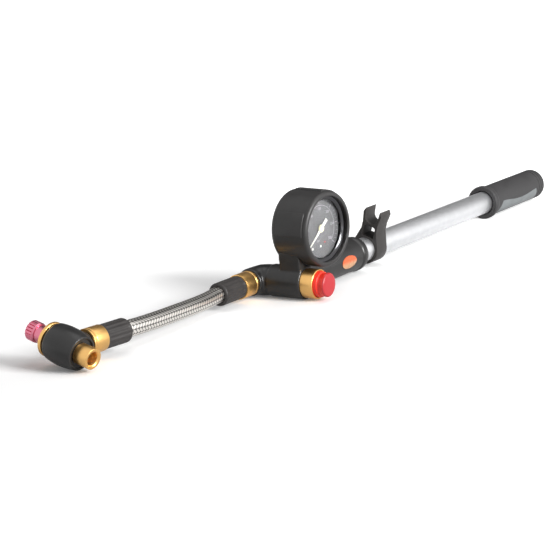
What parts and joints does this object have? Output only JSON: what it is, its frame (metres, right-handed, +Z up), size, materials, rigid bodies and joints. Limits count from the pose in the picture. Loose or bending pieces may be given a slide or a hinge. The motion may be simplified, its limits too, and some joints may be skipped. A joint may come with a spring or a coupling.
{
  "type": "shock suspension pump",
  "caption": "Slim hand pump for air-sprung suspension: telescoping handle, round dial gauge in a rubber boot, push-button bleed valve and a braided swivel hose with a screw-on valve head.",
  "frame": {"origin": "bottom centre of the pump without its hose and valve head, on the surface it lies on", "axes": "+X along the barrel to the handle, -Y the side the dial faces, +Z up"},
  "size_m": [0.5548, 0.0852, 0.0694],
  "materials": {
    "body_black": "satin",
    "sleeve_black": "satin",
    "boot_rubber": "matte",
    "seal_rubber": "matte",
    "badge_orange": "gloss",
    "barrel_aluminium": "satin",
    "brass": "polished",
    "steel": "ground",
    "lens": "clear",
    "dial_grey": "matte",
    "needle_white": "matte",
    "button_red": "satin",
    "grip_rubber": "matte",
    "insert_grey": "matte",
    "piston_plastic": "satin",
    "braid": "woven",
    "knob_pink": "anodised"
  },
  "bodies": {
    "pump_body": {"main_body": "body_black", "badge": "badge_orange", "barrel": "barrel_aluminium", "barrel_o_ring": "seal_rubber", "inlet_plug": "brass", "check_ball": "steel", "check_spring": "steel", "rod_gland": "body_black", "gland_wiper": "seal_rubber", "hose_clip": "sleeve_black", "gauge_boot": "boot_rubber", "gauge_case": "body_black", "gauge_bezel": "body_black", "gauge_lens": "lens", "gauge_dial": "dial_grey", "dial_screws": "steel", "bourdon_tube": "brass", "gauge_stem": "brass", "stem_o_ring": "seal_rubber", "movement_plate": "brass", "bleed_collar": "brass", "collar_o_ring": "seal_rubber", "bleed_spring": "steel", "hose_spigot": "brass", "spigot_o_ring": "seal_rubber"},
    "handle": {"handle_core": "body_black", "handle_grip": "grip_rubber", "grip_inserts": "insert_grey", "pump_rod": "steel", "rod_nut": "steel", "piston": "piston_plastic", "piston_o_ring": "seal_rubber", "piston_nut": "steel", "top_out_bumper": "seal_rubber"},
    "bleed_button": {"bleed_button": "button_red", "bleed_stem": "steel", "bleed_seal": "seal_rubber"},
    "gauge_sector": {"sector_gear": "brass"},
    "gauge_needle": {"needle": "needle_white", "needle_pinion": "brass"},
    "hose": {"swivel_nut": "brass", "pump_end_sleeve": "sleeve_black", "hose": "braid", "head_end_sleeve": "sleeve_black", "head_nut": "brass"},
    "valve_head": {"head_body": "body_black", "head_spigot": "brass", "spindle_o_rings": "seal_rubber"},
    "chuck": {"chuck_spindle": "brass", "chuck_ring": "brass", "chuck_seal": "seal_rubber"},
    "depressor": {"depressor_pin": "steel"},
    "knob": {"valve_knob": "knob_pink"}
  },
  "joints": [
    {"name": "handle_stroke", "type": "slide", "parent": "pump_body", "child": "handle", "axis": [1, 0, 0], "range_m": [0, 0.24]},
    {"name": "bleed_press", "type": "slide", "parent": "pump_body", "child": "bleed_button", "axis": [0, 1, 0], "range_m": [0, 0.002], "stiffness_N_per_m": 900, "springref_m": -0.002},
    {"name": "sector_turn", "type": "hinge", "parent": "pump_body", "child": "gauge_sector", "pos_m": [-0.15115, -0.01098, 0.0551], "axis": [0.0767, 0.9971, 0], "range_deg": [-51.6, 0]},
    {"name": "needle_turn", "type": "hinge", "parent": "pump_body", "child": "gauge_needle", "pos_m": [-0.15228, -0.02564, 0.0442], "axis": [0.0767, 0.9971, 0], "range_deg": [0, 258]},
    {"name": "hose_swivel", "type": "hinge", "parent": "pump_body", "child": "hose", "pos_m": [-0.1763, 0.0213, 0.0106], "axis": [-1, 0, 0], "continuous": true},
    {"name": "head_swivel", "type": "hinge", "parent": "hose", "child": "valve_head", "pos_m": [-0.36001, 0.0228, 0.0127], "axis": [-0.9938, 0.1115, 0], "continuous": true},
    {"name": "chuck_spin", "type": "hinge", "parent": "valve_head", "child": "chuck", "pos_m": [-0.36001, 0.0228, 0.0127], "axis": [-0.1084, -0.9663, -0.2334], "continuous": true},
    {"name": "depressor_feed", "type": "slide", "parent": "chuck", "child": "depressor", "axis": [-0.1084, -0.9663, -0.2334], "range_m": [0, 0.0015]},
    {"name": "knob_turn", "type": "hinge", "parent": "depressor", "child": "knob", "pos_m": [-0.36001, 0.0228, 0.0127], "axis": [-0.1084, -0.9663, -0.2334], "range_deg": [0, 540]}
  ],
  "couplings": [
    {"joint": "needle_turn", "follows": "sector_turn", "ratio": -5},
    {"joint": "knob_turn", "follows": "depressor_feed", "rad_per_m": 6283.2}
  ]
}
